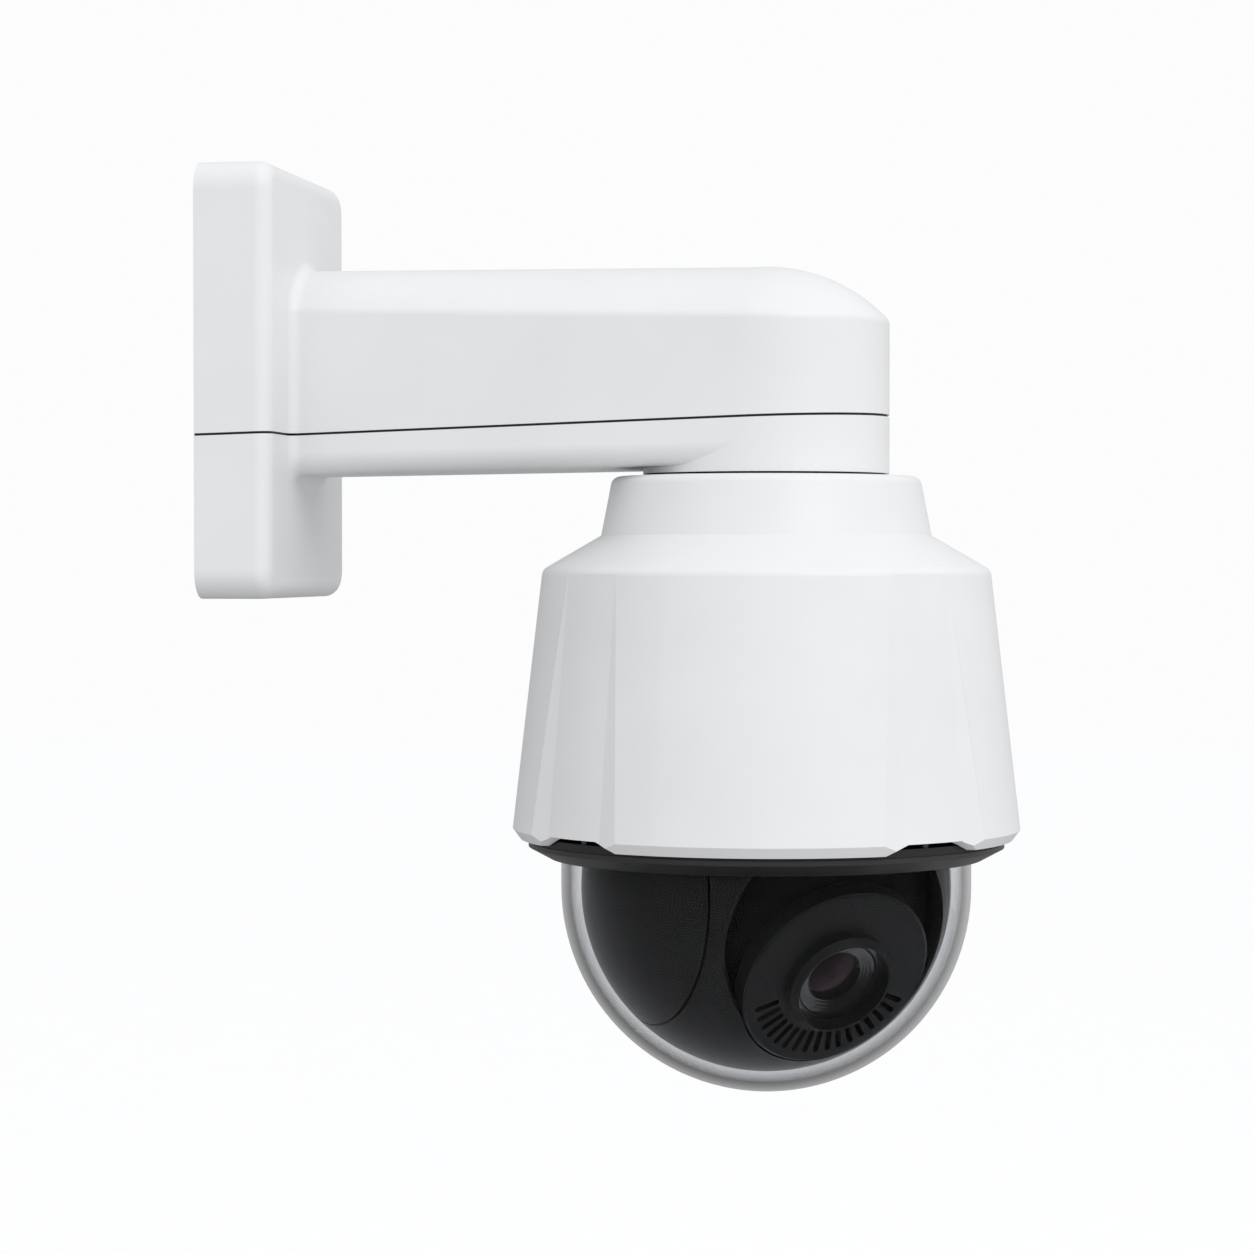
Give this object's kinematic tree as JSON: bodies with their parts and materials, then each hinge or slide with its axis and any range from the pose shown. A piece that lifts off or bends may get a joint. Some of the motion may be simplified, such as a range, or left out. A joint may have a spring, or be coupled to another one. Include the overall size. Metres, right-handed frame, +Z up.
{
  "type": "security camera",
  "caption": "Outdoor pan-tilt dome camera with a clear bubble, pleated white weather shield and a tapered arm on a rectangular wall plate.",
  "frame": {"origin": "centre of the wall plate's back face, on the wall", "axes": "+X out of the wall along the arm, +Z up, +Y across the wall"},
  "size_m": [0.3012, 0.1904, 0.347],
  "materials": {
    "white_paint": "satin powder coat",
    "steel": "zinc plated",
    "screw_steel": "satin stainless",
    "black_screw": "black oxide",
    "bearing_steel": "polished",
    "aluminium": "machined",
    "brass": "turned",
    "motor_metal": "dark satin",
    "barrel_metal": "anodised black",
    "black_rubber": "matte",
    "black_plastic": "matte",
    "ball_plastic": "semi gloss",
    "face_plastic": "fine moulded texture",
    "ring_plastic": "fine moulded texture",
    "cowl_plastic": "matte, light-absorbing",
    "black_housing": "satin black",
    "white_gear": "moulded",
    "circuit_board": "solder mask",
    "clear_dome": "clear optical",
    "lens_glass": "coated"
  },
  "bodies": {
    "bracket": {"wall_plate": "steel", "wall_plate_tabs": "steel", "wall_gasket": "black_rubber", "arm_lower_shell": "white_paint", "arm_upper_shell": "white_paint", "shell_gasket": "black_rubber", "shell_screws": "screw_steel", "lock_screws": "screw_steel", "hub_gasket": "black_rubber", "pendant_nipple": "steel", "nipple_seal": "black_rubber", "pendant_locknut": "steel", "cable_grommet": "black_rubber", "weather_shield": "white_paint", "shield_screws": "screw_steel", "housing": "black_housing", "dome_gasket": "black_rubber", "dome_bubble": "clear_dome", "dome_ring": "ring_plastic", "ring_screws": "black_screw", "chassis_plate": "aluminium", "chassis_screws": "screw_steel", "board_standoffs": "brass", "main_board": "circuit_board", "network_jack": "steel", "pan_motor": "motor_metal", "fan_frame": "black_plastic", "slip_ring_stator": "black_plastic", "pan_bearing_outer": "bearing_steel", "pan_bearing_balls": "bearing_steel"},
    "pan_pinion": {"pan_pinion": "brass"},
    "fan_rotor": {"fan_rotor": "black_plastic"},
    "pan_unit": {"pan_bearing_inner": "bearing_steel", "turntable": "black_housing", "pan_gear": "white_gear", "slip_ring_rotor": "black_plastic", "yoke_arm_left": "black_housing", "yoke_arm_right": "black_housing", "yoke_screws": "screw_steel", "yoke_cover_left": "ball_plastic", "yoke_cover_right": "ball_plastic", "tilt_bushes": "brass", "tilt_fixed_gear": "white_gear"},
    "tilt_unit": {"ball_front_shell": "ball_plastic", "ball_rear_shell": "ball_plastic", "ball_inner_cowl": "cowl_plastic", "lens_cradle": "aluminium", "tilt_axles": "steel", "tilt_motor": "motor_metal", "lens_face_plate": "face_plastic", "lens_collar": "face_plastic", "lens_barrel": "barrel_metal", "front_lens": "lens_glass", "front_lens_ring": "barrel_metal", "lens_guide_rods": "steel", "iris_plate": "barrel_metal", "sensor_board": "circuit_board"},
    "tilt_pinion": {"tilt_pinion": "brass"},
    "zoom_group": {"zoom_lens_group": "barrel_metal"},
    "focus_group": {"focus_lens_group": "barrel_metal"}
  },
  "joints": [
    {"name": "pan", "type": "hinge", "parent": "bracket", "child": "pan_unit", "pos_m": [0.206, 0, -0.105], "axis": [0, 0, 1], "continuous": true},
    {"name": "tilt", "type": "hinge", "parent": "pan_unit", "child": "tilt_unit", "pos_m": [0.206, 0, -0.189], "axis": [0.809, 0.5878, 0], "range_deg": [-29, 151]},
    {"name": "pan_pinion_spin", "type": "hinge", "parent": "bracket", "child": "pan_pinion", "pos_m": [0.26352, 0.00301, -0.105], "axis": [0, 0, 1], "continuous": true},
    {"name": "tilt_pinion_spin", "type": "hinge", "parent": "tilt_unit", "child": "tilt_pinion", "pos_m": [0.22633, 0.05369, -0.17155], "axis": [0.809, 0.5878, 0], "range_deg": [-150, 760]},
    {"name": "zoom", "type": "slide", "parent": "tilt_unit", "child": "zoom_group", "axis": [0.5141, -0.7076, -0.4848], "range_m": [-0.0015, 0.008]},
    {"name": "focus", "type": "slide", "parent": "tilt_unit", "child": "focus_group", "axis": [0.5141, -0.7076, -0.4848], "range_m": [-0.006, 0.006]},
    {"name": "fan_spin", "type": "hinge", "parent": "bracket", "child": "fan_rotor", "pos_m": [0.14908, -0.00298, -0.09], "axis": [0, 0, 1], "continuous": true}
  ],
  "couplings": [
    {"joint": "pan_pinion_spin", "follows": "pan", "ratio": -5},
    {"joint": "tilt_pinion_spin", "follows": "tilt", "ratio": 5}
  ]
}
